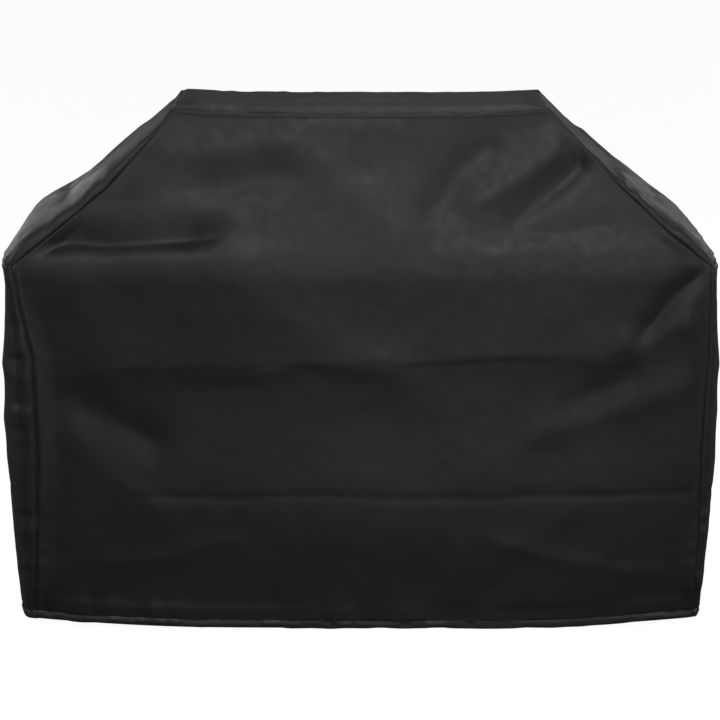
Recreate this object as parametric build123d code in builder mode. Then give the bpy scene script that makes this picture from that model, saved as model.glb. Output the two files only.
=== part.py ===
"""Fitted cloth cover for a gas grill, cut and sewn from seven panels of coated polyester.

Millimetres, +Z up. The origin is on the floor under the middle of the cover, and the front faces -Y.
The cover is open below. It stands as it hangs over a grill: upright walls up to the side shelves,
then slopes that close in on a long narrow top over the hood.
"""

import os
from math import hypot

from build123d import *

# Outside sizes of the cover: 64 by 24 by 48 inches.
width = 1626
depth = 610
height = 1219
# Where the upright walls end, at the side shelves, and the flat top over the hood.
shoulder_height = 876
top_length = 860
top_depth = 326

# Each panel is drawn thicker than its cloth, so that it is a sound solid.
panel_thickness = 3

# The casing sewn round the open foot, and the flat elastic that runs inside it.
hem_height = 25
hem_thickness = 7
casing_wall = 2.2
casing_end_wall = 2.5
elastic_clearance = 0.4

# Waterproof tape that bridges every seam on the inside.
tape_leg = 10
tape_thickness = 1
tape_end_gap = 16

# Cinch strap low on each side wall: a webbing flap that folds about its sewn end.
strap_width = 38
strap_height = 165
strap_fold_y = 60
strap_flap_length = 205
webbing_thickness = 1.6
grip_tape_thickness = 1.6
grip_gap = 0.3
anchor_length = 50
anchor_gap = 0.5
loop_tape_length = 130
hook_tape_length = 110
tape_end_margin = 22
strap_corner = 6

# The slopes are set in so that every mitre between two panels stays flat.
rise = height - shoulder_height
side_run = (width - top_length) / 2
front_run = (depth - top_depth) / 2
shoulder_drop = (hypot(rise, side_run) - rise) / side_run
inner_shrink = (1 - shoulder_drop) / rise

FRONT, BACK, LEFT, RIGHT = -1, 1, -1, 1
SIDES = {"left": LEFT, "right": RIGHT}
FACES = {"front": FRONT, "back": BACK}


def corner(level, side, face, inset=0):
    """A corner of the cover, or of the skin that lies inset inside it.

    level is a height on the upright walls, "shoulder" or "top".
    """
    if level == "top":
        x = top_length / 2 - inset * (1 - side_run * inner_shrink)
        y = top_depth / 2 - inset * (1 - front_run * inner_shrink)
        return Vector(side * x, face * y, height - inset)
    z = shoulder_height - shoulder_drop * inset if level == "shoulder" else level
    return Vector(side * (width / 2 - inset), face * (depth / 2 - inset), z)


def corner_face(corners):
    """The flat face through the given corners."""
    across = corners[1] - corners[0]
    plane = Plane(corners[0], x_dir=across, z_dir=across.cross(corners[2] - corners[0]))
    with BuildSketch(plane) as face:
        with BuildLine():
            Polyline(*[plane.to_local_coords(point) for point in corners], close=True)
        make_face()
    return face.sketch


def panel_flat(outline):
    """Adds one flat stretch of cloth. outline gives its four corners for an inset."""
    loft([corner_face(outline(0)), corner_face(outline(panel_thickness))], ruled=True)


def save(part, name):
    """Labels a finished piece and writes it to its own file."""
    part.label = name
    export_step(part, f"parts/{name}.step")


def wall_panel(face):
    """The front or back panel: one hexagon of cloth, upright below the shoulder and leaning above."""
    with BuildPart() as panel:
        for low, high in ((hem_height, "shoulder"), ("shoulder", "top")):
            panel_flat(
                lambda inset, low=low, high=high: [
                    corner(low, LEFT, face, inset),
                    corner(low, RIGHT, face, inset),
                    corner(high, RIGHT, face, inset),
                    corner(high, LEFT, face, inset),
                ]
            )
    return panel.part


def gusset_panel(side, low, high):
    """A panel of one end of the cover, between the front and the back panel."""
    with BuildPart() as panel:
        panel_flat(
            lambda inset: [
                corner(low, side, FRONT, inset),
                corner(low, side, BACK, inset),
                corner(high, side, BACK, inset),
                corner(high, side, FRONT, inset),
            ]
        )
    return panel.part


def top_panel():
    """The flat strip over the hood."""
    with BuildPart() as panel:
        panel_flat(
            lambda inset: [
                corner("top", LEFT, FRONT, inset),
                corner("top", RIGHT, FRONT, inset),
                corner("top", RIGHT, BACK, inset),
                corner("top", LEFT, BACK, inset),
            ]
        )
    return panel.part


def foot_strip(start, end, outer, inner, low, high, mode=Mode.ADD):
    """Adds or cuts a bar along one edge of the foot, mitred at both ends.

    start and end are the (side, face) of its corners; outer and inner are its insets.
    """
    outline = [
        corner(low, *start, outer),
        corner(low, *end, outer),
        corner(low, *end, inner),
        corner(low, *start, inner),
    ]
    extrude(corner_face(outline), amount=high - low, dir=(0, 0, 1), mode=mode)


def hem(start, end):
    """One edge of the hem casing, hollow for the elastic."""
    with BuildPart() as casing:
        foot_strip(start, end, 0, hem_thickness, 0, hem_height)
        foot_strip(
            start,
            end,
            casing_wall,
            hem_thickness - casing_wall,
            casing_end_wall,
            hem_height - casing_end_wall,
            mode=Mode.SUBTRACT,
        )
    return casing.part


def hem_elastic():
    """The flat elastic loop that runs all round inside the hem casing."""
    outer = casing_wall + elastic_clearance
    inner = hem_thickness - outer
    low = casing_end_wall + elastic_clearance
    with BuildPart() as loop:
        with BuildSketch(Plane.XY.offset(low)):
            Rectangle(width - 2 * outer, depth - 2 * outer)
            Rectangle(width - 2 * inner, depth - 2 * inner, mode=Mode.SUBTRACT)
        extrude(amount=hem_height - 2 * low)
    return loop.part


def seam_tape(start, end, first, second):
    """An angle of seam tape along the inside of the seam from start to end.

    first and second are points on the two panels that the seam joins.
    """
    along = (end - start).normalized()
    legs = []
    for point in (first, second):
        away = point - start
        legs.append((away - along * away.dot(along)).normalized())
    opening = legs[0].get_angle(legs[1])
    inward = (legs[1] - legs[0] * legs[1].dot(legs[0])).normalized()
    seam_axis = legs[0].cross(inward)
    origin = start if seam_axis.dot(along) > 0 else end
    far_leg = Vector(tape_leg, 0, 0).rotate(Axis.Z, opening)
    far_inward = Vector(0, -tape_thickness, 0).rotate(Axis.Z, opening)
    bend = Vector(tape_thickness, 0, 0) / Vector(1, 0, 0).cross(far_leg.normalized()).Z
    bend_corner = bend * (1 + far_leg.normalized().X) + Vector(0, tape_thickness, 0)
    with BuildPart() as tape:
        with BuildSketch(Plane(origin + seam_axis * tape_end_gap, x_dir=legs[0], z_dir=seam_axis)):
            with BuildLine():
                Polyline(
                    (0, 0),
                    (tape_leg, 0),
                    (tape_leg, tape_thickness),
                    bend_corner,
                    far_leg + far_inward,
                    far_leg,
                    close=True,
                )
            make_face()
        extrude(amount=(end - start).length - 2 * tape_end_gap)
    return tape.part


def seam_tapes():
    """Every seam tape by name. The ends of tapes that meet at a corner stop short of each other."""
    t = panel_thickness
    tapes = {}
    for face_name, face in FACES.items():
        tapes[f"{face_name}_top_tape"] = seam_tape(
            corner("top", LEFT, face, t),
            corner("top", RIGHT, face, t),
            corner("top", LEFT, -face, t),
            corner("shoulder", LEFT, face, t),
        )
        for side_name, side in SIDES.items():
            tapes[f"{side_name}_{face_name}_slope_tape"] = seam_tape(
                corner("shoulder", side, face, t),
                corner("top", side, face, t),
                corner("shoulder", side, -face, t),
                corner("shoulder", -side, face, t),
            )
            tapes[f"{side_name}_{face_name}_corner_tape"] = seam_tape(
                corner(hem_height, side, face, t),
                corner("shoulder", side, face, t),
                corner(hem_height, side, -face, t),
                corner(hem_height, -side, face, t),
            )
    for side_name, side in SIDES.items():
        tapes[f"{side_name}_top_tape"] = seam_tape(
            corner("top", side, FRONT, t),
            corner("top", side, BACK, t),
            corner("top", -side, FRONT, t),
            corner("shoulder", side, FRONT, t),
        )
        tapes[f"{side_name}_shoulder_tape"] = seam_tape(
            corner("shoulder", side, FRONT, t),
            corner("shoulder", side, BACK, t),
            corner("top", side, FRONT, t),
            corner(hem_height, side, FRONT, t),
        )
    return tapes


def strap_layer(side, off_wall, thickness, back_y, length):
    """A flat length of strap or grip tape on a side wall, with rounded ends, running forward from back_y."""
    wall = Plane.YZ.offset(side * (width / 2 + off_wall))
    with BuildPart() as layer:
        with BuildSketch(wall):
            with Locations((back_y - length / 2, strap_height)):
                RectangleRounded(length, strap_width, strap_corner)
        extrude(amount=side * thickness)
    return layer.part


def cinch_strap(side):
    """The pieces of one cinch strap by name, closed: loop tape on the wall, then hook tape, then webbing."""
    hook_level = grip_tape_thickness + grip_gap
    webbing_level = hook_level + grip_tape_thickness
    flap_end_y = strap_fold_y - strap_flap_length
    tape_end_y = flap_end_y + tape_end_margin
    return {
        "loop_tape": strap_layer(
            side, 0, grip_tape_thickness, tape_end_y + loop_tape_length, loop_tape_length
        ),
        "hook_tape": strap_layer(
            side, hook_level, grip_tape_thickness, tape_end_y + hook_tape_length, hook_tape_length
        ),
        "strap_flap": strap_layer(
            side, webbing_level, webbing_thickness, strap_fold_y, strap_flap_length
        ),
        "strap_anchor": strap_layer(
            side, 0, 2 * webbing_thickness, strap_fold_y + anchor_gap + anchor_length, anchor_length
        ),
    }


os.makedirs("parts", exist_ok=True)

for face_name, face in FACES.items():
    save(wall_panel(face), f"{face_name}_panel")
    save(hem((LEFT, face), (RIGHT, face)), f"{face_name}_hem")

save(top_panel(), "top_panel")

for side_name, side in SIDES.items():
    save(gusset_panel(side, "shoulder", "top"), f"{side_name}_slope_panel")
    save(gusset_panel(side, hem_height, "shoulder"), f"{side_name}_side_panel")
    save(hem((side, FRONT), (side, BACK)), f"{side_name}_hem")
    for piece, part in cinch_strap(side).items():
        save(part, f"{side_name}_{piece}")

save(hem_elastic(), "hem_elastic")

for name, tape in seam_tapes().items():
    save(tape, name)
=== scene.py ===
"""The looks of a fitted black cloth cover for a cart grill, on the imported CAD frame. Metres, +Z up."""

import logging
import math
from dataclasses import dataclass, field
from enum import Enum
from typing import Callable

import bpy
import numpy as np
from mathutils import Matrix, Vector


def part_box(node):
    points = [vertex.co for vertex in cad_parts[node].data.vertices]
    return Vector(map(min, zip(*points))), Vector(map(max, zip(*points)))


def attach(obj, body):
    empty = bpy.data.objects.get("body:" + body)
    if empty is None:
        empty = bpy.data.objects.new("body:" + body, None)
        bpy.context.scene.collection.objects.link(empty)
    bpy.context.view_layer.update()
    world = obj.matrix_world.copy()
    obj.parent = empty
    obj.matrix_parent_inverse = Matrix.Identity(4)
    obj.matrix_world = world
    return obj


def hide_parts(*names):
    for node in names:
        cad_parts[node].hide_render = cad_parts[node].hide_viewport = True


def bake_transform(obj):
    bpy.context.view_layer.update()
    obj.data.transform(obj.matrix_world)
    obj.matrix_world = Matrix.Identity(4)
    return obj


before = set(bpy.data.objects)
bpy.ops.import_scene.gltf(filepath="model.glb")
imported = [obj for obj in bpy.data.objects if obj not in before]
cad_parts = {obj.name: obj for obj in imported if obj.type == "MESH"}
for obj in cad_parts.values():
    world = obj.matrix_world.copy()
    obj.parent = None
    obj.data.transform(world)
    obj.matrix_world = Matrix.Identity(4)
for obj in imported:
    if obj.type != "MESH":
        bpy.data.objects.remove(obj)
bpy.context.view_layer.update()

log = logging.getLogger("grill_cover")

MM = 0.001
TAPE_HALF = 12 * MM
ELASTIC_WIDTH = 16 * MM
Array = np.ndarray
# Values by height up the cloth, in metres: the heights, then the values.
Table = tuple[tuple[float, ...], tuple[float, ...]]
DRAWN_AT = (0.0, 0.1, 0.25, 0.42, 0.56, 0.66, 0.78, 0.87, 0.95, 1.06, 1.16, 1.25)
PUFF_AT = (0.0, 0.12, 0.4, 0.66, 0.82, 0.875, 0.91, 0.93, 1.0, 1.1, 1.18, 1.25)
# A sewn or cut line: places along it and the cloth's outward normals there.
Line = tuple[Array, Array]


class Face(Enum):
    """Which long wall of the cover a piece belongs to."""

    FRONT = -1
    BACK = 1


class Side(Enum):
    """Which end of the cover a piece belongs to."""

    LEFT = -1
    RIGHT = 1


# ---------------------------------------------------------------- mesh helpers


def smooth(x: Array) -> Array:
    """Eases x from 0 to 1, clamped outside."""
    x = np.clip(x, 0.0, 1.0)
    return x * x * (3 - 2 * x)


def unit(v: Array) -> Array:
    """Vectors of length one along the last axis."""
    return v / np.maximum(np.linalg.norm(v, axis=-1, keepdims=True), 1e-9)


def inward(points: Array) -> Array:
    """Directions from places on the cover towards the space inside it, mostly across its depth."""
    middle = np.array([0.0, 0.0, 0.55])
    return unit((middle - points) * np.array([0.6, 1.6, 1.0]))


def run_length(line: Array) -> Array:
    """The distance along a line of places, from its start to each of them."""
    return np.concatenate([[0], np.cumsum(np.linalg.norm(np.diff(line, axis=0), axis=-1))])


def flat_map(run: Array, rise: Array) -> Array:
    """The places on flat cloth for a grid with the given rows up and columns along."""
    return np.stack(np.broadcast_arrays(run[None, :], rise[:, None]), axis=-1)


def noise(x: Array, y: Array, seed: int) -> Array:
    """Smooth value noise from -1 to 1 with cells one unit wide.

    Args:
        x: First coordinate, in cells.
        y: Second coordinate, in cells.
        seed: Chooses the pattern.

    Returns:
        One value for each point.
    """
    size = 256
    table = np.random.default_rng(seed).uniform(-1, 1, (size, size))
    cell_x, cell_y = np.floor(x).astype(int), np.floor(y).astype(int)
    part_x, part_y = smooth(x - cell_x), smooth(y - cell_y)
    x0, x1, y0, y1 = cell_x % size, (cell_x + 1) % size, cell_y % size, (cell_y + 1) % size
    low = table[x0, y0] * (1 - part_x) + table[x1, y0] * part_x
    high = table[x0, y1] * (1 - part_x) + table[x1, y1] * part_x
    return low * (1 - part_y) + high * part_y


def cloth_noise(x: Array, y: Array, seed: int) -> Array:
    """Soft folded-cloth unevenness in metres, from broad waves down to crisp small wrinkles."""
    turn = 0.6
    p, q = x * math.cos(turn) + y * math.sin(turn), -x * math.sin(turn) + y * math.cos(turn)
    broad = 10 * MM * noise(x / 0.40, y / 0.26, seed)
    middle = 2.6 * MM * noise(p / 0.15, q / 0.19, seed + 1)
    patches = smooth(0.5 + noise(x / 0.3, y / 0.3, seed + 5))
    ridge = 1.8 * MM * (0.5 - np.abs(noise(q / 0.11, p / 0.26, seed + 2))) * patches
    fine = 0.3 * MM * noise(x / 0.035, y / 0.028, seed + 3)
    crisp = 0.4 * MM * (0.4 - np.abs(noise(p / 0.035, q / 0.06, seed + 4)))
    return broad + middle + ridge + fine + crisp


def spaced(length: float, step: float, edge: tuple[float, ...]) -> Array:
    """Places from 0 to 1 along a length: close together at both ends, even between.

    Args:
        length: The length in metres.
        step: The even spacing in metres.
        edge: Distances from each end of the close places, in metres.

    Returns:
        The places, as shares of the length.
    """
    start = np.array(edge) / length
    count = max(2, round((length - 2 * edge[-1]) / step))
    middle = np.linspace(start[-1], 1 - start[-1], count + 1)[1:-1]
    return np.concatenate([start, middle, 1 - start[::-1]])


def mesh_object(name: str, points: Array, faces: list[tuple[int, ...]]) -> bpy.types.Object:
    """A new object at the origin with the given mesh."""
    mesh = bpy.data.meshes.new(name)
    mesh.from_pydata(points.tolist(), [], faces)
    mesh.validate()
    mesh.update()
    piece = bpy.data.objects.new(name, mesh)
    bpy.context.collection.objects.link(piece)
    for face in mesh.polygons:
        face.use_smooth = True
    return piece


def grid_object(name: str, points: Array, cloth: Array, wrap: bool = False) -> bpy.types.Object:
    """A sheet of quads through a grid of points.

    Args:
        name: The object's name.
        points: Rows by columns by xyz. Rows go up and columns go right, seen from outside.
        cloth: Rows by columns by uv, the place on the flat cloth in metres.
        wrap: Closes the rows into a tube.

    Returns:
        The new object.
    """
    rows, columns = points.shape[:2]
    faces = []
    for r in range(rows if wrap else rows - 1):
        low, high = r * columns, (r + 1) % rows * columns
        faces += [(low + c, low + c + 1, high + c + 1, high + c) for c in range(columns - 1)]
    if wrap:
        faces.append(tuple(r * columns for r in range(rows)))
        faces.append(tuple(r * columns + columns - 1 for r in reversed(range(rows))))
    piece = mesh_object(name, points.reshape(-1, 3), faces)
    layer = piece.data.uv_layers.new(name="cloth")
    corners = np.empty(len(piece.data.loops), dtype=np.int64)
    piece.data.loops.foreach_get("vertex_index", corners)
    layer.data.foreach_set("uv", cloth.reshape(-1, 2)[corners].astype(np.float32).ravel())
    return piece


def only(piece: bpy.types.Object) -> None:
    """Selects one object and makes it active."""
    bpy.ops.object.select_all(action="DESELECT")
    piece.select_set(True)
    bpy.context.view_layer.objects.active = piece


def thicken(piece: bpy.types.Object, thickness: float, offset: float = -1.0) -> None:
    """Gives a sheet its thickness and applies it."""
    only(piece)
    modifier = piece.modifiers.new("cloth thickness", "SOLIDIFY")
    modifier.thickness = thickness
    modifier.offset = offset
    modifier.use_even_offset = False
    bpy.ops.object.modifier_apply(modifier=modifier.name)


def thread_beads(name: str, starts: Array, ends: Array, normals: Array, radius: float) -> bpy.types.Object:
    """Stitches: one flat six-sided bead from each start to each end, half sunk in the cloth."""
    along = unit(ends - starts)
    across = unit(np.cross(along, normals))
    middle = (starts + ends) / 2
    side, rise = across * radius, normals * radius
    corners = np.stack([starts, middle + side, middle + rise, middle - side, ends, middle - rise], axis=1)
    shape = [(0, 2, 1), (0, 3, 2), (4, 1, 2), (4, 2, 3), (0, 1, 5), (0, 5, 3), (4, 5, 1), (4, 3, 5)]
    faces = [tuple(6 * i + k for k in f) for i in range(len(starts)) for f in shape]
    return mesh_object(name, corners.reshape(-1, 3), faces)


# ---------------------------------------------------------------- finishes


def linear(hex_colour: str) -> tuple[float, float, float, float]:
    """An sRGB hex colour as linear red, green, blue and alpha."""
    values = [int(hex_colour[i : i + 2], 16) / 255 for i in (1, 3, 5)]
    return (*[v / 12.92 if v <= 0.04045 else ((v + 0.055) / 1.055) ** 2.4 for v in values], 1.0)


def add_node(
    tree: bpy.types.NodeTree,
    kind: str,
    settings: dict[str, object] | None = None,
    values: dict[str | int, object] | None = None,
    links: dict[str | int, bpy.types.NodeSocket] | None = None,
) -> bpy.types.Node:
    """Adds a shader node.

    Args:
        tree: The material's or world's nodes.
        kind: The node's type.
        settings: Its properties, by name.
        values: Its sockets' own values, by name or number.
        links: Output sockets to join to its inputs, by name or number.

    Returns:
        The new node.
    """
    node = tree.nodes.new(kind)
    for key, value in (settings or {}).items():
        setattr(node, key, value)
    for key, value in (values or {}).items():
        node.inputs[key].default_value = value
    for key, socket in (links or {}).items():
        tree.links.new(socket, node.inputs[key])
    return node


@dataclass(frozen=True)
class ClothFinish:
    """A black textile or tape: slow shifts in shade, rubbed patches, soft crinkles and its threads."""

    name: str
    dark: str
    light: str
    roughness: tuple[float, float]
    thread_mm: float
    weave: float
    crinkle: float
    sheen: float = 0.0
    slot: str = "cover_cloth"

    def material(self) -> bpy.types.Material:
        """Builds the material. Its threads follow the cloth's own map, which is in metres."""
        made = bpy.data.materials.new(self.name)
        made.use_nodes = True
        tree = made.node_tree
        shader = tree.nodes["Principled BSDF"]
        shader.inputs["IOR"].default_value = 1.48
        shader.inputs["Sheen Weight"].default_value = self.sheen
        shader.inputs["Sheen Roughness"].default_value = 0.4
        place = add_node(tree, "ShaderNodeTexCoord").outputs["Object"]
        cloth = add_node(tree, "ShaderNodeUVMap", {"uv_map": "cloth"}).outputs["UV"]

        def pattern(scale: float, detail: float, roughness: float, **kind: str) -> bpy.types.NodeSocket:
            values = {"Scale": scale, "Detail": detail, "Roughness": roughness}
            return add_node(tree, "ShaderNodeTexNoise", kind, values, {"Vector": place}).outputs["Fac"]

        # Slow shifts in the coating's shade, about a hand wide.
        mottle = pattern(7.0, 4.0, 0.6)
        shades = {6: linear(self.dark), 7: linear(self.light)}
        shade = add_node(tree, "ShaderNodeMix", {"data_type": "RGBA"}, shades, {0: mottle})
        tree.links.new(shade.outputs[2], shader.inputs["Base Color"])
        # Fine dulling where the coating is rubbed, a few centimetres wide.
        rub = pattern(38.0, 5.0, 0.65)
        shiny, dull = self.roughness
        levels = {"From Min": 0.3, "From Max": 0.7, "To Min": shiny, "To Max": dull}
        gloss = add_node(tree, "ShaderNodeMapRange", {}, levels, {"Value": rub})
        tree.links.new(gloss.outputs["Result"], shader.inputs["Roughness"])
        # Small crinkles, with the weave over them.
        crinkle = pattern(30.0, 3.0, 0.5, noise_type="RIDGED_MULTIFRACTAL")
        soft = add_node(
            tree, "ShaderNodeBump", {}, {"Strength": self.crinkle, "Distance": 1.2 * MM}, {"Height": crinkle}
        )
        links = {"Height": self.threads(tree, cloth), "Normal": soft.outputs["Normal"]}
        bump = add_node(tree, "ShaderNodeBump", {}, {"Strength": self.weave, "Distance": 0.3 * MM}, links)
        tree.links.new(bump.outputs["Normal"], shader.inputs["Normal"])
        return made

    def threads(self, tree: bpy.types.NodeTree, cloth: bpy.types.NodeSocket) -> bpy.types.NodeSocket:
        """The plain weave's height: warp and weft threads that pass over each other in turn."""
        split = add_node(tree, "ShaderNodeSeparateXYZ", {}, {}, {0: cloth})
        turns = math.pi / (self.thread_mm * MM)
        waves = []
        for axis in ("X", "Y"):
            scaled = add_node(
                tree, "ShaderNodeMath", {"operation": "MULTIPLY"}, {1: turns}, {0: split.outputs[axis]}
            )
            sine = add_node(tree, "ShaderNodeMath", {"operation": "SINE"}, {}, {0: scaled.outputs[0]})
            waves.append(sine.outputs[0])
        links = {0: waves[0], 1: waves[1]}
        return add_node(tree, "ShaderNodeMath", {"operation": "MULTIPLY"}, {}, links).outputs[0]


# Polyurethane-coated 600-denier polyester. Its threads are 0.45 mm apart, too fine to show at arm's
# length, so they are drawn 1.8 mm apart. The coating gives a satin, faintly wet gloss.
COATED = ClothFinish("coated_oxford_polyester", "#151517", "#222225", (0.46, 0.60), 1.8, 0.26, 0.15)
# The same cloth folded double, coloured paler than the walls as painted highlight for the light that the
# hem's puckers catch.
HEM_CLOTH_PAINTED_HIGHLIGHT = ClothFinish(
    "coated_oxford_hem", "#202022", "#38383b", (0.44, 0.58), 1.8, 0.30, 0.45, slot="hem_cloth"
)
# Heat-sealed polyethylene tape over the seams, smooth and greyer than the cloth.
SEAL_TAPE = ClothFinish(
    "heat_sealed_seam_tape", "#37373a", "#454548", (0.30, 0.42), 2.4, 0.06, 0.15, slot="seam_tape"
)
# Knitted elastic with a rubber core: ribbed and dull.
ELASTIC = ClothFinish(
    "knitted_flat_elastic", "#2a2a2a", "#3c3c3c", (0.7, 0.85), 1.2, 0.8, 0.1, 0.1, "elastic"
)
# Polyester webbing: coarse ribs 1.5 mm apart, dull with a faint sheen.
WEBBING = ClothFinish(
    "polyester_webbing", "#161618", "#242426", (0.55, 0.68), 1.5, 0.9, 0.1, 0.15, "webbing"
)
# Moulded nylon hooks, in rows 1.6 mm apart, with small glints.
HOOKS = ClothFinish(
    "moulded_nylon_hooks", "#0f0f10", "#1d1d1f", (0.35, 0.5), 1.6, 1.0, 0.0, 0.0, "hook_tape"
)
# Napped nylon loops: fuzzy, with no gloss at all.
LOOPS = ClothFinish(
    "napped_nylon_loops", "#1a1a1c", "#2c2c2e", (0.85, 0.95), 1.1, 0.9, 0.6, 0.4, "loop_tape"
)
# Bonded polyester sewing thread, one shade lighter than the cloth so that the rows read.
THREAD = ClothFinish("bonded_sewing_thread", "#232325", "#333335", (0.4, 0.5), 0.6, 0.4, 0.0, 0.1)


@dataclass
class Wardrobe:
    """Makes each finish once and dresses pieces in it."""

    made: dict[str, bpy.types.Material] = field(default_factory=dict)

    def dress(self, piece: bpy.types.Object, finish: ClothFinish, body: str | None = "cover") -> None:
        """Gives a piece its finish, its material slot and, when a body is given, its body."""
        if finish.name not in self.made:
            self.made[finish.name] = finish.material()
        piece.data.materials.clear()
        piece.data.materials.append(self.made[finish.name])
        if body:
            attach(piece, body)
        log.info("%s: %d faces, %s", piece.name, len(piece.data.polygons), finish.name)


# ---------------------------------------------------------------- the hung shape


@dataclass(frozen=True)
class Fold:
    """A fold in a panel: from one place on the cloth to another, in metres across and up the panel.

    height, in millimetres, is out of the cloth when positive. upper and lower are the widths of its two
    flanks, in millimetres, where upper is the flank to the left of its run.
    """

    start: tuple[float, float]
    end: tuple[float, float]
    height: float
    upper: float
    lower: float
    sharp: float = 2.0

    def lift(self, x: Array, s: Array) -> Array:
        """How far the fold lifts the cloth at each place. It wanders and swells a little along its run."""
        height, upper, lower = self.height * MM, self.upper * MM, self.lower * MM
        run = np.array(self.end) - np.array(self.start)
        length = float(np.linalg.norm(run))
        run = run / length
        dx, ds = x - self.start[0], s - self.start[1]
        along = dx * run[0] + ds * run[1]
        seed = int(1000 * abs(self.start[0] - 3 * self.end[1]))
        wave = 0.011 * noise(along / 0.10, np.zeros_like(along), seed) * min(1.0, upper / 0.02)
        off = ds * run[0] - dx * run[1] + wave
        width = np.where(off > 0, upper, lower)
        ends = smooth(along / (0.3 * length) + 0.5) * smooth((length - along) / (0.3 * length) + 0.5)
        swell = 1 + 0.35 * noise(along / 0.13, np.ones_like(along), seed + 1)
        return height * swell * np.exp(-np.abs(off / width) ** self.sharp) * ends

    def mirrored(self) -> "Fold":
        """The same fold on the other half of its panel, with its flanks still above and below it."""
        start, end = (-self.end[0], self.end[1]), (-self.start[0], self.start[1])
        return Fold(start, end, self.height, self.upper, self.lower, self.sharp)


@dataclass(frozen=True)
class Hang:
    """How the cloth hangs: the panels' seam lines and how each wall and end stands out or pulls in."""

    half_width: float
    half_depth: float
    foot: float
    shoulder: float
    top: float
    half_top_width: float
    half_top_depth: float
    # How far each long wall's end seams are drawn in from the corner, by height up the cloth.
    drawn_left: Table = (
        DRAWN_AT,
        (0.046, 0.050, 0.058, 0.065, 0.062, 0.060, 0.034, 0.020, 0.030, 0.044, 0.026, 0.002),
    )
    drawn_right: Table = (
        DRAWN_AT,
        (0.020, 0.021, 0.018, 0.020, 0.016, 0.011, 0.012, 0.012, 0.026, 0.025, 0.006, -0.006),
    )
    # How far each end stands out past its cut plane halfway from front to back, by height.
    puff_left: Table = (
        PUFF_AT,
        (0.000, 0.013, 0.028, 0.024, 0.014, 0.014, 0.030, 0.026, 0.006, 0.002, -0.002, -0.004),
    )
    puff_right: Table = (
        PUFF_AT,
        (-0.004, 0.009, 0.028, 0.025, 0.014, 0.010, 0.018, 0.018, 0.008, -0.002, -0.006, -0.008),
    )
    strap_low: tuple[float, float] = (0.0, 0.0)
    strap_high: tuple[float, float] = (0.0, 0.0)
    strap_sink: float = 0.3 * MM
    strap_reach: float = 0.09
    bend: float = 0.055
    lean_steps: int = 600

    @property
    def lean(self) -> float:
        """The angle that the long walls lean back above the shoulder."""
        return math.atan2(self.half_depth - self.half_top_depth, self.top - self.shoulder)

    @property
    def length(self) -> float:
        """The cloth's length up a long wall, from the floor to the top seam."""
        return self.shoulder + math.hypot(self.half_depth - self.half_top_depth, self.top - self.shoulder)

    def profile(self, s: Array) -> tuple[Array, Array, Array]:
        """A long wall's depth, height and lean at each length up the cloth."""
        steps = np.linspace(0, self.length, self.lean_steps)
        lean = self.lean * smooth((steps - self.shoulder + self.bend) / (2 * self.bend))
        step = steps[1]
        depth = self.half_depth - np.concatenate([[0], np.cumsum(np.sin(lean[1:]))]) * step
        height = np.concatenate([[0], np.cumsum(np.cos(lean[1:]))]) * step
        above = (steps - self.shoulder) / (self.length - self.shoulder)
        depth += (self.half_top_depth - depth[-1]) * smooth(above)
        height += (self.top - height[-1]) * steps / self.length
        return np.interp(s, steps, depth), np.interp(s, steps, height), np.interp(s, steps, lean)

    def drawn(self, side: Side, s: Array) -> Array:
        """How far an end's seams are drawn in at each length up the cloth."""
        return np.interp(s, *(self.drawn_left if side is Side.LEFT else self.drawn_right))

    def cut_width(self, s: Array) -> Array:
        """Half the straight-cut width of a long wall at each length up the cloth."""
        share = np.clip((s - self.shoulder) / (self.length - self.shoulder), 0, 1)
        return self.half_width + (self.half_top_width - self.half_width) * share

    def seam_x(self, side: Side, s: Array) -> Array:
        """Where a long wall's end seam stands, drawn in from the corner."""
        return side.value * (self.cut_width(s) - self.drawn(side, s))

    def wall(self, face: Face, x: Array, s: Array) -> Array:
        """Places on a long wall, before its folds."""
        depth, height, lean = self.profile(s)
        across = np.clip(np.abs(x) / self.cut_width(s), 0, 1)
        belly = 0.020 * (1 - across**2.2) * (0.35 + 0.65 * smooth((0.75 - s) / 0.75))
        near_top = smooth((s - self.length + 0.16) / 0.16)
        roll = 0.010 * near_top * (1 - across**4)
        tuck = 0.012 * smooth((0.12 - s) / 0.12) * across**4
        out = depth + (belly + roll - tuck) * np.cos(lean)
        lift = 0.018 * smooth((0.30 - s) / 0.30) * np.clip((across - 0.45) / 0.55, 0, 1) ** 1.6
        sag = 0.010 * near_top * (1 - across**4)
        return np.stack([x, face.value * out, height + lift - sag], axis=-1)

    def wall_seam(self, face: Face, side: Side, s: Array) -> Array:
        """Places along the seam between a long wall and an end."""
        return self.wall(face, self.seam_x(side, s), s)

    def end(self, side: Side, t: Array, s: Array) -> Array:
        """Places on an end of the cover: t runs from its front seam at 0 to its back seam at 1."""
        front = self.wall_seam(Face.FRONT, side, s)
        back = self.wall_seam(Face.BACK, side, s)
        turn = math.atan2(self.half_width - self.half_top_width, self.top - self.shoulder)
        lean = turn * smooth((s - self.shoulder + 0.03) / 0.09)
        outward = np.stack([side.value * np.cos(lean), np.zeros_like(lean), np.sin(lean)], axis=-1)
        puff = self.puff_left if side is Side.LEFT else self.puff_right
        stand = np.maximum(self.drawn(side, s), 0) * np.cos(lean) + np.interp(s, *puff)
        corner = 1 - np.abs(2 * t - 1) ** 5
        arch = np.power(np.clip(corner, 0, 1), 0.36)
        straight = front + (back - front) * t[..., None]
        hung = straight + outward * (stand * arch)[..., None]
        held = self.under_strap(hung[..., 1], hung[..., 2])
        flush = side.value * (self.half_width - self.strap_sink)
        hung[..., 0] += (flush - hung[..., 0]) * held
        return hung

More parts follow.
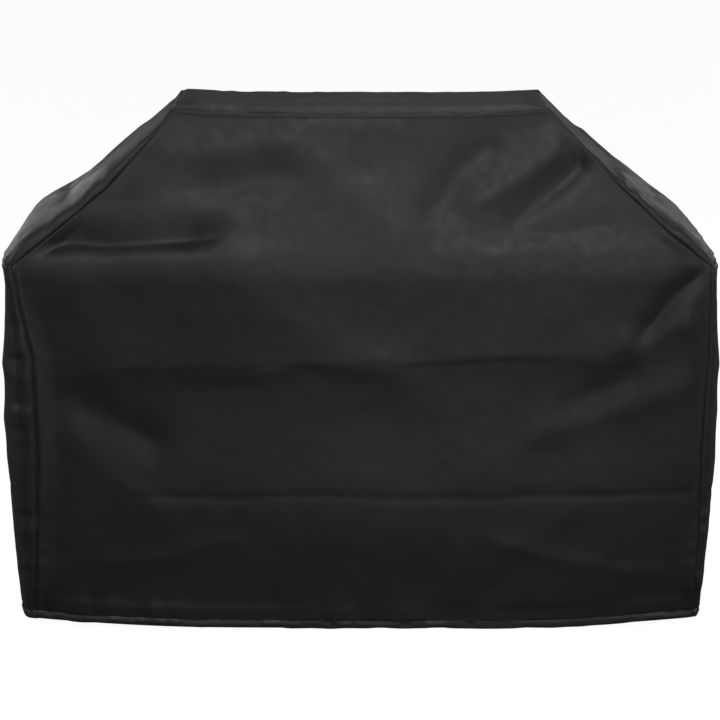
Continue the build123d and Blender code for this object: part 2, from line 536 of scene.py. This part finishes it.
    def under_strap(self, y: Array, z: Array) -> Array:
        """One where a side wall is held flat by its cinch strap, and zero away from it."""
        (y0, z0), (y1, z1) = self.strap_low, self.strap_high
        past_y, past_z = np.maximum(y0 - y, y - y1), np.maximum(z0 - z, z - z1)
        over = np.hypot(np.maximum(past_y, 0), np.maximum(past_z, 0))
        return 1 - smooth(over / self.strap_reach)

    def crown(self, u: Array, t: Array) -> Array:
        """Places on the top: u runs from its left seam to its right, and t from front to back."""
        top = np.full_like(u, self.length)
        left, right = (self.end(side, t, top) for side in Side)
        edges = []
        for face in Face:
            x = self.seam_x(Side.LEFT, top) * (1 - u) + self.seam_x(Side.RIGHT, top) * u
            edges.append(self.wall(face, x, top))
        corners = [[self.wall_seam(face, side, top) for side in Side] for face in Face]
        u3, t3 = u[..., None], t[..., None]
        flat = (1 - t3) * edges[0] + t3 * edges[1] + (1 - u3) * left + u3 * right
        for face_weight, row in zip((1 - t3, t3), corners):
            for side_weight, corner in zip((1 - u3, u3), row):
                flat = flat - face_weight * side_weight * corner
        flat[..., 2] += 0.012 * (1 - (2 * t - 1) ** 2) * (1 - (2 * u - 1) ** 6)
        return flat


def hang_from_frame() -> Hang:
    """Reads the cover's driving sizes from the frame."""
    wall_low, wall_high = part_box("front_panel")
    top_low, top_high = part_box("top_panel")
    return Hang(
        half_width=wall_high.x,
        half_depth=-wall_low.y,
        foot=wall_low.z,
        shoulder=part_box("left_side_panel")[1].z,
        top=wall_high.z,
        half_top_width=top_high.x,
        half_top_depth=top_high.y,
        strap_low=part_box("left_strap_flap")[0].yz[:],
        strap_high=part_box("left_strap_anchor")[1].yz[:],
    )


# ---------------------------------------------------------------- panels


@dataclass
class Panel:
    """One cut piece of the cover's cloth, hung in place with its folds, seam rolls and puckers.

    place gives the hung surface for u across and v up, both from 0 to 1 and seen from outside.
    width and height are the cut's flat size. detail gives the folds' height for places on the cloth.
    """

    name: str
    place: Callable[[Array, Array], Array]
    width: float
    height: float
    area: float
    detail: Callable[[Array, Array], Array]
    seed: int
    pucker: float = 1.6 * MM
    welt: float = 0.9 * MM
    step: float = 7.6 * MM
    cloth_thickness: float = 1.1 * MM
    roll_depth: float = 3.4 * MM
    edge: tuple[float, ...] = (0.0, 0.0016, 0.0034, 0.0054, 0.0076, 0.010, 0.013, 0.017, 0.022)
    hemmed: bool = False

    def span(self, v: Array) -> Array:
        """The hung panel's width at each height, from edge to edge."""
        return np.linalg.norm(self.place(np.ones_like(v), v) - self.place(np.zeros_like(v), v), axis=-1)

    def seam_distance(self, u: Array, v: Array) -> Array:
        """How far each place is from the panel's nearest sewn edge, in metres."""
        sides = np.minimum(u, 1 - u) * self.span(v)
        ends = np.minimum(v, 1 - v) * self.height
        return np.minimum(sides, ends)

    def surface(self, u: Array, v: Array) -> Line:
        """The finished cloth's places and outward normals."""
        base = self.place(u, v)
        small = 0.004
        du = self.place(np.clip(u + small, 0, 1), v) - self.place(np.clip(u - small, 0, 1), v)
        dv = self.place(u, np.clip(v + small, 0, 1)) - self.place(u, np.clip(v - small, 0, 1))
        normal = unit(np.cross(du, dv))
        x = (u - 0.5) * self.span(v)
        s = v * self.height
        away = self.seam_distance(u, v)
        from_side, from_end = np.minimum(u, 1 - u) * self.width, np.minimum(v, 1 - v) * self.height
        at_foot = smooth((0.10 - s) / 0.09) * smooth(from_side / 0.02) * self.hemmed
        # The folds die out at the seams, and the foot is free to move with them.
        lift = self.detail(x, s) * np.maximum(smooth(away / 0.05), 0.6 * at_foot)
        # The stitching draws small puckers up along the seams.
        along = np.where(from_side < from_end, s, x)
        gather = noise(along / 0.021, away / 0.09, self.seed + 7) * np.exp(-away / 0.028)
        gather += 0.6 * noise(along / 0.055, away / 0.2, self.seed + 8) * np.exp(-away / 0.06)
        uneven = 0.55 + 0.45 * noise(along / 0.19, np.zeros_like(along), self.seed + 9)
        lift += self.pucker * gather * uneven * smooth(away / 0.004)
        # The seam's folded allowance shows as a low band beside it.
        top_seam = 1 + 0.8 * np.exp(-(((1 - v) * self.height / 0.02) ** 2))
        band = smooth((away - 0.0022) / 0.0025) * smooth((0.0135 - away) / 0.0025)
        lift += self.welt * top_seam * band * (1 - at_foot)
        # The hem's elastic gathers the foot.
        elastic = noise(x / 0.034 + 0.4 * noise(x / 0.2, s / 0.2, self.seed), s / 0.16, self.seed + 3)
        bunched = 0.35 + 0.65 * smooth(0.5 + noise(x / 0.3, 0 * x, self.seed + 4))
        lift += 3.2 * MM * elastic * bunched * at_foot
        # The edge rolls inward to its seam. The unevenness is shared, so the two cloths still meet.
        sewn = 0.75 + 0.45 * noise((base[..., 0] + base[..., 1]) / 0.12, base[..., 2] / 0.12, 77)
        roll = self.roll_depth * np.exp(-((away / 0.0032) ** 1.6)) * sewn * (1 - 0.8 * at_foot)
        return base + normal * lift[..., None] + inward(base) * roll[..., None], normal

    def build(self) -> bpy.types.Object:
        """Builds the panel as a sheet with its thickness."""
        across = spaced(self.width, self.step, self.edge)
        up = spaced(self.height, self.step, self.edge)
        u, v = np.meshgrid(across, up)
        points, _ = self.surface(u, v)
        piece = grid_object(self.name, points, flat_map(across * self.width, up * self.height))
        thicken(piece, self.cloth_thickness)
        return piece

    def stitches(self, name: str, edges: tuple[str, ...], inset: float = 11 * MM) -> bpy.types.Object:
        """A row of stitches along the named edges (left, right or high), inset from the seam."""
        pitch, length = 5.5 * MM, 4.0 * MM
        starts, ends, normals = [], [], []
        for edge in edges:
            upright = edge in ("left", "right")
            run = self.height if upright else self.width
            count = int((run - 4 * inset) / pitch)
            centre = (2 * inset + (np.arange(count) + 0.5) * pitch) / run
            half = length / run / 2
            for store, place in ((starts, centre - half), (ends, centre + half)):
                share = inset / self.span(place)
                if upright:
                    points, normal = self.surface(share if edge == "left" else 1 - share, place)
                else:
                    points, normal = self.surface(place, np.full_like(place, 1 - inset / self.height))
                store.append(points)
            normals.append(normal)
        starts, ends, normals = (np.concatenate(part) for part in (starts, ends, normals))
        sink = normals * 0.1 * MM
        return thread_beads(name, starts - sink, ends - sink, normals, 0.55 * MM)


@dataclass
class Cover:
    """The whole cover: its hung shape and every piece of it."""

    hang: Hang
    wardrobe: Wardrobe
    panels: dict[str, Panel] = field(default_factory=dict)

    # Each fold runs between places in metres, across from the middle and up the cloth from the hem.
    front_folds: tuple[Fold, ...] = (
        # Creases that storage left across the wall, a panel's fold apart.
        Fold((-0.52, 0.300), (0.56, 0.308), -1.9, 9, 8, 1.2),
        Fold((0.50, 0.302), (0.80, 0.318), -2.0, 9, 8, 1.2),
        Fold((-0.64, 0.602), (0.56, 0.640), 5.0, 60, 26, 1.3),
        Fold((-0.60, 0.600), (0.48, 0.632), -1.4, 7, 7, 1.2),
        # The slack pocket by the left shoulder, and the tight line across to the right one.
        Fold((-0.76, 0.896), (-0.34, 0.928), -26, 50, 22, 1.5),
        Fold((-0.82, 0.836), (-0.20, 0.862), 6, 46, 80, 1.8),
        Fold((0.36, 0.928), (0.70, 0.952), -5.0, 26, 14, 1.5),
        Fold((0.20, 0.880), (0.74, 0.890), 5.0, 30, 52, 1.8),
        Fold((0.80, 0.850), (0.62, 0.690), -15, 20, 26, 1.5),
        Fold((0.76, 0.740), (0.50, 0.620), 5.0, 40, 40, 1.8),
        # Broad waves of slack cloth.
        Fold((0.47, 1.150), (0.25, 0.985), 13.0, 26, 48, 1.7),
        Fold((0.52, 1.110), (0.34, 0.960), -10.0, 24, 30, 1.8),
        Fold((0.30, 1.150), (0.14, 0.980), -8.0, 46, 36, 1.8),
        Fold((0.77, 0.590), (0.36, 0.435), 3.6, 36, 50, 1.8),
        Fold((0.62, 0.590), (0.44, 0.530), -4.5, 40, 40, 1.8),
        Fold((-0.72, 0.470), (-0.46, 0.235), 3.2, 40, 50, 1.8),
        Fold((-0.70, 0.560), (-0.48, 0.420), -8.0, 44, 44, 1.8),
        Fold((-0.60, 1.00), (-0.18, 1.07), -13.0, 60, 44, 1.8),
        Fold((-0.46, 1.10), (-0.14, 1.16), 6.0, 36, 50, 1.8),
        Fold((-0.30, 0.80), (0.10, 0.560), 4.0, 50, 60, 1.8),
        Fold((-0.12, 1.12), (0.10, 0.90), 8.0, 60, 56, 1.8),
        Fold((-0.12, 1.190), (-0.06, 1.212), 2.5, 7, 9, 1.5),
        Fold((0.30, 0.20), (0.70, 0.10), 2.8, 22, 30, 1.6),
        Fold((-0.66, 0.13), (-0.30, 0.19), 2.8, 22, 30, 1.6),
    )
    back_folds: tuple[Fold, ...] = (
        Fold((-0.62, 0.300), (0.60, 0.304), -2.4, 9, 8, 1.2),
        Fold((-0.56, 0.612), (0.62, 0.598), 4.6, 55, 28, 1.3),
        Fold((0.76, 0.880), (0.30, 0.912), -12, 30, 20, 1.6),
        Fold((-0.70, 0.850), (0.10, 0.880), 8.0, 26, 48, 1.6),
        Fold((-0.78, 0.840), (-0.60, 0.690), -10, 22, 18, 1.6),
        Fold((-0.52, 1.130), (-0.22, 0.960), 7.0, 26, 34, 1.7),
        Fold((0.70, 0.560), (0.28, 0.380), 7.0, 26, 34, 1.6),
        Fold((-0.40, 0.520), (-0.70, 0.200), 6.0, 26, 34, 1.6),
        Fold((0.10, 0.820), (-0.14, 0.500), 4.0, 50, 60, 1.8),
    )
    top_folds: tuple[Fold, ...] = (
        Fold((-0.40, 0.10), (0.10, 0.13), 2.6, 12, 16, 1.5),
        Fold((-0.10, 0.21), (0.38, 0.17), 2.4, 14, 12, 1.5),
        Fold((-0.30, 0.26), (0.12, 0.25), -2.2, 12, 14, 1.5),
    )
    end_folds: tuple[Fold, ...] = (
        Fold((-0.29, 0.300), (0.29, 0.306), -3.0, 9, 8, 1.2),
        Fold((-0.28, 0.604), (0.28, 0.600), 4.0, 40, 24, 1.3),
        Fold((-0.22, 0.80), (0.16, 0.52), 5.0, 30, 36, 1.6),
        Fold((0.24, 0.50), (-0.02, 0.26), 4.0, 24, 30, 1.6),
    )
    slope_folds: tuple[Fold, ...] = (
        Fold((-0.24, 0.40), (0.06, 0.22), 5.0, 22, 30, 1.6),
        Fold((0.22, 0.30), (-0.06, 0.10), 5.0, 24, 26, 1.6),
        Fold((-0.18, 0.12), (0.14, 0.16), -4.0, 18, 20, 1.5),
    )

    def relief(
        self,
        folds: tuple[Fold, ...],
        seed: int,
        flat: Callable[[Array, Array], Array] | None = None,
        slack: float = 1.0,
    ) -> Callable[[Array, Array], Array]:
        """The height of a panel's folds and unevenness.

        Args:
            folds: The panel's own folds.
            seed: Chooses its unevenness.
            flat: A mask that is zero where the cloth is held flat.
            slack: How uneven the cloth is, from 0 for taut.

        Returns:
            A function from places on the cloth to heights.
        """

        def detail(x: Array, s: Array) -> Array:
            lift = slack * cloth_noise(x, s, seed)
            for fold in folds:
                lift = lift + fold.lift(x, s)
            return lift if flat is None else lift * flat(x, s)

        return detail

    def cut_panels(self) -> None:
        """Lays out the seven panels on the hung shape."""
        hang = self.hang
        long_height = hang.length - hang.foot
        upper = hang.length - hang.shoulder
        long_area = 2 * hang.half_width * (hang.shoulder - hang.foot)
        long_area += (hang.half_width + hang.half_top_width) * upper
        for face in Face:
            turned = face is Face.BACK

            def place(u: Array, v: Array, face: Face = face, turned: bool = turned) -> Array:
                s = hang.foot + v * (hang.length - hang.foot)
                left, right = hang.seam_x(Side.LEFT, s), hang.seam_x(Side.RIGHT, s)
                share = 1 - u if turned else u
                return hang.wall(face, left * (1 - share) + right * share, s)

            name = f"{face.name.lower()}_panel"
            folds = self.back_folds if turned else self.front_folds
            self.panels[name] = Panel(
                name, place, 2 * hang.half_width, long_height, long_area,
                self.relief(folds, 20 + face.value), 5, hemmed=True,
            )

        top_width, top_height = 2 * hang.half_top_width, 2 * hang.half_top_depth
        self.panels["top_panel"] = Panel(
            "top_panel", hang.crown, top_width, top_height, top_width * top_height,
            self.relief(self.top_folds, 40), 9, step=5.5 * MM,
        )
        slope = math.hypot(hang.half_width - hang.half_top_width, hang.top - hang.shoulder)
        for side in Side:
            word = side.name.lower()
            for kind, low, high, height, folds in (
                ("side", hang.foot, hang.shoulder, hang.shoulder - hang.foot, self.end_folds),
                ("slope", hang.shoulder, hang.length, slope, self.slope_folds),
            ):

                def end_place(
                    u: Array, v: Array, side: Side = side, low: float = low, high: float = high
                ) -> Array:
                    t = u if side is Side.RIGHT else 1 - u
                    return hang.end(side, t, low + v * (high - low))

                if side is Side.RIGHT:
                    folds = tuple(fold.mirrored() for fold in folds)
                depth = 2 * hang.half_depth
                share = 1.0 if kind == "side" else (hang.half_depth + hang.half_top_depth) / depth
                name = f"{word}_{kind}_panel"
                flat = self.strap_flat if kind == "side" else None
                self.panels[name] = Panel(
                    name, end_place, depth, height, depth * height * share,
                    self.relief(folds, 60 + 3 * side.value + len(kind), flat, 0.5),
                    30 + side.value, pucker=4.0 * MM, step=6.0 * MM, hemmed=kind == "side",
                )

    def strap_flat(self, x: Array, s: Array) -> Array:
        """Keeps a side wall's own folds away from its cinch strap."""
        height = s + self.hang.foot
        held = np.maximum(self.hang.under_strap(x, height), self.hang.under_strap(-x, height))
        return 1 - held

    def sew_panels(self) -> None:
        for name, panel in self.panels.items():
            piece = panel.build()
            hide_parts(name)
            self.wardrobe.dress(piece, COATED)
            if name in ("front_panel", "back_panel"):
                thread = panel.stitches(f"{name}_stitching", ("left", "right", "high"))
                self.wardrobe.dress(thread, THREAD)

    def sew_hems(self) -> None:
        """Builds the hem casings round the foot, gathered on their elastic."""
        for face in Face:
            wall = self.panels[f"{face.name.lower()}_panel"]
            self.hem(f"{face.name.lower()}_hem", wall, 11 + face.value)
        for side in Side:
            word = side.name.lower()
            self.hem(f"{word}_hem", self.panels[f"{word}_side_panel"], 15 + side.value)

    def hem(self, name: str, panel: Panel, seed: int) -> None:
        """One edge's casing: a flattened tube that hangs from the panel's foot and puckers along it."""
        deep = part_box(name)[1].z - 1.0 * MM
        u = np.linspace(0.0, 1.0, round(panel.width / (4.5 * MM)))
        seam, normal = panel.surface(u, np.zeros_like(u))
        out = unit(normal * np.array([1.0, 1.0, 0.0]))
        run = u * panel.width
        uneven = np.clip(0.65 + 0.6 * noise(run / 0.23, np.zeros_like(run), seed), 0.15, 1.2)
        gather = noise(run / 0.017, np.zeros_like(run), seed + 1) * uneven
        swing = noise(run / 0.045, np.ones_like(run), seed + 2) * uneven
        around = 14
        rings = []
        for angle in 2 * math.pi * np.arange(around) / around:
            down = (1 - math.cos(angle)) / 2
            stand = -2.6 * MM + 2.9 * MM * math.sin(angle)
            bulge = (3.2 * MM * gather + 4.2 * MM * swing) * math.sin(math.pi * down)
            low = seam[:, 2] - deep * down * (1 - 0.10 * (uneven + swing))
            place = seam + out * (stand + bulge)[:, None]
            place[:, 2] = np.maximum(low + 1.5 * MM, 0.2 * MM)
            rings.append(place)
        points = np.stack(rings, axis=0)[::-1]
        piece = grid_object(name, points, flat_map(run, np.linspace(0, 2 * deep, around)), wrap=True)
        only(piece)
        bpy.ops.object.mode_set(mode="EDIT")
        bpy.ops.mesh.select_all(action="SELECT")
        bpy.ops.mesh.normals_make_consistent(inside=False)
        bpy.ops.object.mode_set(mode="OBJECT")
        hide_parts(name)
        # The hem's paler colour is painted highlight.
        self.wardrobe.dress(piece, HEM_CLOTH_PAINTED_HIGHLIGHT)
        self.hem_stitches(f"{name}_stitching", run, seam, out)

    def hem_stitches(self, name: str, run: Array, seam: Array, out: Array) -> None:
        """The row of stitches that closes a hem casing against its panel."""
        margin, pitch, half = 12 * MM, 5.5 * MM, 2.0 * MM
        top = seam + out * (0.2 * MM)
        centres = np.arange(margin, run[-1] - margin, pitch)

        def along(values: Array, shift: float = 0.0) -> Array:
            return np.stack([np.interp(centres + shift, run, values[:, i]) for i in range(3)], axis=-1)

        starts, ends = along(top, -half), along(top, half)
        for marks in (starts, ends):
            marks[:, 2] -= 1.0 * MM
        self.wardrobe.dress(thread_beads(name, starts, ends, along(out), 0.55 * MM), THREAD)

    def seal_seams(self) -> None:
        """Lays the waterproof tapes along the inside of the seams."""
        for face in Face:
            self.seal_wall(face)
        for side in Side:
            self.seal_end(side)

    def seal_wall(self, face: Face) -> None:
        """Tapes a long wall to the top, to the side walls and to the slopes."""
        word = face.name.lower()
        back = face is Face.BACK
        wall, top = self.panels[f"{word}_panel"], self.panels["top_panel"]
        u = np.linspace(0.02, 0.98, 120)
        ones = np.ones_like(u)
        near, far = TAPE_HALF / wall.height * ones, TAPE_HALF / top.height * ones
        self.tape(
            f"{word}_top_tape",
            wall.surface(u, 1 - near),
            wall.surface(u, ones),
            top.surface(1 - u if back else u, 1 - far if back else far),
        )
        bend = (self.hang.shoulder - self.hang.foot) / (self.hang.length - self.hang.foot)
        for side in Side:
            # Seen from outside, the wall's right edge meets the end's left edge, and the other way about.
            on_right = (side is Side.RIGHT) != back
            for kind, word_of_seam, low, high, base, share in (
                ("side", "corner", 0.01, bend - 0.01, 0.0, bend),
                ("slope", "slope", bend + 0.01, 0.985, bend, 1 - bend),
            ):
                end = self.panels[f"{side.name.lower()}_{kind}_panel"]
                v = np.linspace(low, high, 110)
                ones = np.ones_like(v)
                on_wall, on_end = TAPE_HALF / wall.width * ones, TAPE_HALF / end.width * ones
                self.tape(
                    f"{side.name.lower()}_{word}_{word_of_seam}_tape",
                    wall.surface(1 - on_wall if on_right else on_wall, v),
                    wall.surface(ones if on_right else 0 * ones, v),
                    end.surface(on_end if on_right else 1 - on_end, (v - base) / share),
                )

    def seal_end(self, side: Side) -> None:
        """Tapes a slope to the side wall below it and to the top above it."""
        word = side.name.lower()
        names = (f"{word}_slope", f"{word}_side", "top")
        slope, wall, top = (self.panels[f"{name}_panel"] for name in names)
        u = np.linspace(0.04, 0.96, 90)
        ones = np.ones_like(u)
        sizes = (slope.height, wall.height, top.width)
        on_slope, on_wall, on_top = (TAPE_HALF / size * ones for size in sizes)
        self.tape(
            f"{word}_shoulder_tape",
            slope.surface(u, on_slope),
            slope.surface(u, 0 * ones),
            wall.surface(u, 1 - on_wall),
        )
        on_right = side is Side.RIGHT
        self.tape(
            f"{word}_top_tape",
            slope.surface(u, 1 - on_slope),
            slope.surface(u, ones),
            top.surface(1 - on_top if on_right else on_top, u if on_right else 1 - u),
        )

    def tape(self, name: str, *lines: Line) -> None:
        """One tape bent along a seam, through a line on each panel and the seam between."""
        rows = [points + inward(points) * 2.0 * MM for points, _ in lines]
        # Its middle doesn't reach right into the seam.
        rows[1] = rows[1] + (rows[0] + rows[2] - 2 * rows[1]) * 0.12
        cloth = flat_map(run_length(rows[1]), np.array([0, TAPE_HALF, 2 * TAPE_HALF]))
        piece = grid_object(name, np.stack(rows, axis=0), cloth)
        thicken(piece, 0.5 * MM, 0.0)
        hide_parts(name)
        self.wardrobe.dress(piece, SEAL_TAPE)

    def thread_elastic(self) -> None:
        """The flat elastic loop inside the hem casing."""
        rows = []
        for name in ("front_panel", "right_side_panel", "back_panel", "left_side_panel"):
            panel = self.panels[name]
            u = np.linspace(0.01, 0.99, 110)
            points = panel.place(u, np.zeros_like(u))
            _, normal = panel.surface(u, np.zeros_like(u))
            rows.append(points - unit(normal * np.array([1.0, 1.0, 0.0])) * 3.2 * MM)
        line = np.concatenate(rows + [rows[0][:1]])
        low = np.maximum(line[:, 2] - 19 * MM, 3.0 * MM)
        bottom, top = line.copy(), line.copy()
        bottom[:, 2], top[:, 2] = low, low + ELASTIC_WIDTH
        cloth = flat_map(run_length(line), np.array([0, ELASTIC_WIDTH]))
        piece = grid_object("hem_elastic", np.stack([bottom, top]), cloth)
        thicken(piece, 1.2 * MM, 0.0)
        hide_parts("hem_elastic")
        self.wardrobe.dress(piece, ELASTIC)

    def fit_straps(self) -> None:
        """Builds the cinch strap on each side wall."""
        for side in Side:
            word = side.name.lower()
            strap = f"{word}_strap"
            for kind, finish, body in (
                ("loop_tape", LOOPS, "cover"),
                ("hook_tape", HOOKS, strap),
                ("strap_flap", WEBBING, strap),
                ("strap_anchor", WEBBING, "cover"),
            ):
                name = f"{word}_{kind}"
                piece = self.strip(name, *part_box(name))
                self.wardrobe.dress(piece, finish, body)
                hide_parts(name)
            self.cross_stitch(side, *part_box(f"{word}_strap_anchor"))
            self.bend_strap(side, *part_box(f"{word}_strap_flap"))

    def strip(self, name: str, low: Vector, high: Vector) -> bpy.types.Object:
        """A flat length of webbing or tape that fills its box, with rounded corners and soft edges."""
        size = high - low
        bpy.ops.mesh.primitive_cube_add(size=1, location=(low + high) / 2, scale=size)
        piece = bpy.context.object
        piece.name = piece.data.name = name
        only(piece)
        bpy.ops.object.transform_apply(location=True, rotation=False, scale=True)
        corner = piece.modifiers.new("rounded corners", "BEVEL")
        corner.limit_method, corner.width, corner.segments = "WEIGHT", 6 * MM, 5
        weights = piece.data.attributes.new("bevel_weight_edge", "FLOAT", "EDGE")
        for edge in piece.data.edges:
            a, b = (piece.data.vertices[i].co for i in edge.vertices)
            weights.data[edge.index].value = 1.0 if abs(a.x - b.x) > size.x / 2 else 0.0
        bpy.ops.object.modifier_apply(modifier=corner.name)
        soft = piece.modifiers.new("soft edge", "BEVEL")
        soft.limit_method, soft.width, soft.segments = "ANGLE", 0.5 * MM, 2
        soft.angle_limit = math.radians(50)
        bpy.ops.object.modifier_apply(modifier=soft.name)
        layer = piece.data.uv_layers.get("UVMap") or piece.data.uv_layers.new(name="cloth")
        layer.name = "cloth"
        for loop in piece.data.loops:
            spot = piece.data.vertices[loop.vertex_index].co
            layer.data[loop.index].uv = (spot.y, spot.z)
        return piece

    def cross_stitch(self, side: Side, low: Vector, high: Vector) -> None:
        """The box and cross of stitches that holds a strap's anchor."""
        x = high.x if side is Side.RIGHT else low.x
        inset = 5 * MM
        y0, y1, z0, z1 = low.y + inset, high.y - inset, low.z + inset, high.z - inset
        runs = [
            ((y0, z0), (y1, z0)), ((y1, z0), (y1, z1)), ((y1, z1), (y0, z1)),
            ((y0, z1), (y0, z0)), ((y0, z0), (y1, z1)), ((y0, z1), (y1, z0)),
        ]
        starts, ends = [], []
        for a, b in runs:
            a, b = np.array(a), np.array(b)
            length = float(np.linalg.norm(b - a))
            for centre in np.arange(2.2 * MM, length, 4.4 * MM):
                for store, shift in ((starts, -1.7 * MM), (ends, 1.7 * MM)):
                    spot = a + (b - a) * np.clip((centre + shift) / length, 0, 1)
                    store.append((x, *spot))
        normals = np.tile([float(side.value), 0.0, 0.0], (len(starts), 1))
        name = f"{side.name.lower()}_anchor_stitching"
        self.wardrobe.dress(thread_beads(name, np.array(starts), np.array(ends), normals, 0.5 * MM), THREAD)

    def bend_strap(self, side: Side, low: Vector, high: Vector) -> None:
        """The short bend of webbing between a strap's anchor and its flap."""
        word = side.name.lower()
        rows, columns = 9, 25
        outer = high.x if side is Side.RIGHT else low.x
        at_flap = outer - side.value * 0.8 * MM
        at_anchor = side.value * (self.hang.half_width + 3.8 * MM)
        y = np.linspace(high.y - 9 * MM, high.y + 9 * MM, columns)
        share = smooth((y - y[0]) / (y[-1] - y[0]))
        x = at_flap * (1 - share) + at_anchor * share
        z = np.linspace(low.z + 1 * MM, high.z - 1 * MM, rows)
        grid = np.stack(np.broadcast_arrays(x, y, z[:, None]), axis=-1)
        if side is Side.LEFT:
            grid = grid[:, ::-1]
        piece = grid_object(f"{word}_strap_bend", grid, grid[..., 1:])
        thicken(piece, 1.5 * MM, 0.0)
        self.wardrobe.dress(piece, WEBBING, None)
        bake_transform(piece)


# ---------------------------------------------------------------- the studio


@dataclass(frozen=True)
class Lamp:
    """A softbox that points at a place on the cover."""

    name: str
    place: tuple[float, float, float]
    target: tuple[float, float, float]
    size: tuple[float, float]
    power: float

    def light(self) -> None:
        """Adds the lamp."""
        data = bpy.data.lights.new(self.name, "AREA")
        data.shape, data.size, data.size_y, data.energy = "RECTANGLE", *self.size, self.power
        lamp = bpy.data.objects.new(self.name, data)
        lamp.location = self.place
        aim = Vector(self.target) - Vector(self.place)
        lamp.rotation_euler = aim.to_track_quat("-Z", "Y").to_euler()
        bpy.context.collection.objects.link(lamp)


@dataclass(frozen=True)
class Studio:
    """A white floor, soft lamps and the camera."""

    distance: float = 5.5
    elevation: float = math.radians(14.48)
    aim_height: float = 0.577
    lens: float = 112.7
    paper_glow: float = 0.96
    air: float = 0.075
    lamps: tuple[Lamp, ...] = (
        Lamp("high_front", (0.1, -2.9, 4.4), (0, 0, 0.9), (1.2, 0.8), 68),
        Lamp("front_box", (0.5, -3.9, 1.25), (0.1, 0, 0.85), (1.8, 0.5), 26),
        Lamp("left_rim", (-2.7, 3.3, 1.5), (-0.6, 0, 0.9), (1.2, 1.0), 16),
        Lamp("left_fill", (-4.6, -0.5, 2.4), (-0.5, 0, 0.6), (1.2, 1.2), 66),
        Lamp("right_fill", (4.6, -0.9, 2.2), (0.5, 0, 0.6), (1.2, 1.2), 62),
        Lamp("back_right", (3.4, 3.6, 2.2), (0.2, 0, 0.6), (1.4, 1.0), 22),
        Lamp("back_high", (0.3, 3.0, 4.8), (0, 0, 0.6), (1.8, 1.0), 25),
    )

    def build(self) -> None:
        """Lights the cover and sets the camera."""
        scene = bpy.context.scene
        scene.view_settings.view_transform = "Standard"
        bpy.ops.object.select_all(action="DESELECT")
        bpy.ops.mesh.primitive_plane_add(size=60, location=(0, 0, 0))
        floor = bpy.context.object
        floor.name = "floor"
        floor.data.materials.append(self.paper())
        self.sky(scene)
        for lamp in self.lamps:
            lamp.light()
        data = bpy.data.cameras.new("camera")
        data.lens, data.sensor_width = self.lens, 36
        camera = bpy.data.objects.new("camera", data)
        camera.location = (
            0,
            -self.distance * math.cos(self.elevation),
            self.aim_height + self.distance * math.sin(self.elevation),
        )
        camera.rotation_euler = (math.pi / 2 - self.elevation, 0, 0)
        bpy.context.collection.objects.link(camera)
        scene.camera = camera

    def paper(self) -> bpy.types.Material:
        """Matt paper that the camera sees as white, with the cover's soft shadow on it."""
        paper = bpy.data.materials.new("white_paper")
        paper.use_nodes = True
        shader = paper.node_tree.nodes["Principled BSDF"]
        shader.inputs["Base Color"].default_value = linear("#626262")
        shader.inputs["Roughness"].default_value = 1.0
        shader.inputs["Specular IOR Level"].default_value = 0.0
        shader.inputs["Emission Color"].default_value = (1, 1, 1, 1)
        tree = paper.node_tree
        seen = add_node(tree, "ShaderNodeLightPath").outputs["Is Camera Ray"]
        glow = add_node(tree, "ShaderNodeMath", {"operation": "MULTIPLY"}, {1: self.paper_glow}, {0: seen})
        tree.links.new(glow.outputs[0], shader.inputs["Emission Strength"])
        return paper

    def sky(self, scene: bpy.types.Scene) -> None:
        """A soft even light all round that the camera sees as white."""
        world = bpy.data.worlds.new("studio_air")
        scene.world = world
        world.use_nodes = True
        tree = world.node_tree
        background = tree.nodes["Background"]
        seen = add_node(tree, "ShaderNodeLightPath").outputs["Is Camera Ray"]
        level = add_node(
            tree, "ShaderNodeMapRange", {}, {"To Min": self.air, "To Max": 1.0}, {"Value": seen}
        )
        tree.links.new(level.outputs["Result"], background.inputs["Strength"])
        background.inputs["Color"].default_value = (1, 1, 1, 1)


def main() -> None:
    """Builds every part of the cover and the studio around it."""
    logging.basicConfig(level=logging.INFO, format="%(message)s")
    cover = Cover(hang_from_frame(), Wardrobe())
    cover.cut_panels()
    cover.sew_panels()
    cover.sew_hems()
    cover.seal_seams()
    cover.thread_elastic()
    cover.fit_straps()
    Studio().build()


if __name__ == "__main__":
    main()
